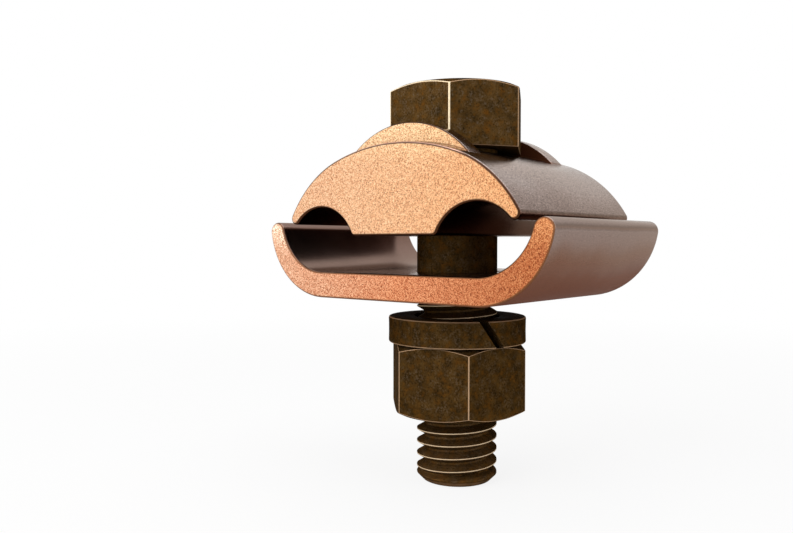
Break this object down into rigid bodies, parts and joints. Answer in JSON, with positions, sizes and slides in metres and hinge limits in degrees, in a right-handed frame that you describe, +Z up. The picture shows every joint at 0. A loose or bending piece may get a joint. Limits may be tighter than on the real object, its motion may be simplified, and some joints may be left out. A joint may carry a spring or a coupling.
{
  "type": "mechanical grounding connector",
  "caption": "Bolted copper grounding clamp: a domed cap closes over a curled base to grip parallel ground cables and fix them to a flat bar.",
  "frame": {"origin": "on the bolt's axis, in the base's flat mounting face", "axes": "+X along the cable channels, +Y across them, +Z up from the mounting face towards the bolt's head"},
  "size_m": [0.032, 0.0526, 0.0614],
  "materials": {
    "cast_copper": "fine sand-cast copper alloy, satin",
    "aged_bronze": "dark aged bronze with worn bright edges"
  },
  "bodies": {
    "base": {"clamp_base": "cast_copper"},
    "nut": {"hex_nut": "aged_bronze", "lock_washer": "aged_bronze"},
    "bolt": {"hex_bolt": "aged_bronze"},
    "cap": {"clamp_cap": "cast_copper"}
  },
  "joints": [
    {"name": "bolt_slide", "type": "slide", "parent": "base", "child": "bolt", "axis": [0, 0, 1], "range_m": [-0.0033, 0.0101]},
    {"name": "nut_turn", "type": "hinge", "parent": "base", "child": "nut", "pos_m": [0, 0, -0.0126], "axis": [0, 0, 1], "range_deg": [-1864, 610]},
    {"name": "cap_slide", "type": "slide", "parent": "bolt", "child": "cap", "axis": [0, 0, 1], "range_m": [-0.001, 0]}
  ],
  "couplings": [
    {"joint": "nut_turn", "follows": "bolt_slide", "rad_per_m": -3215.6}
  ]
}
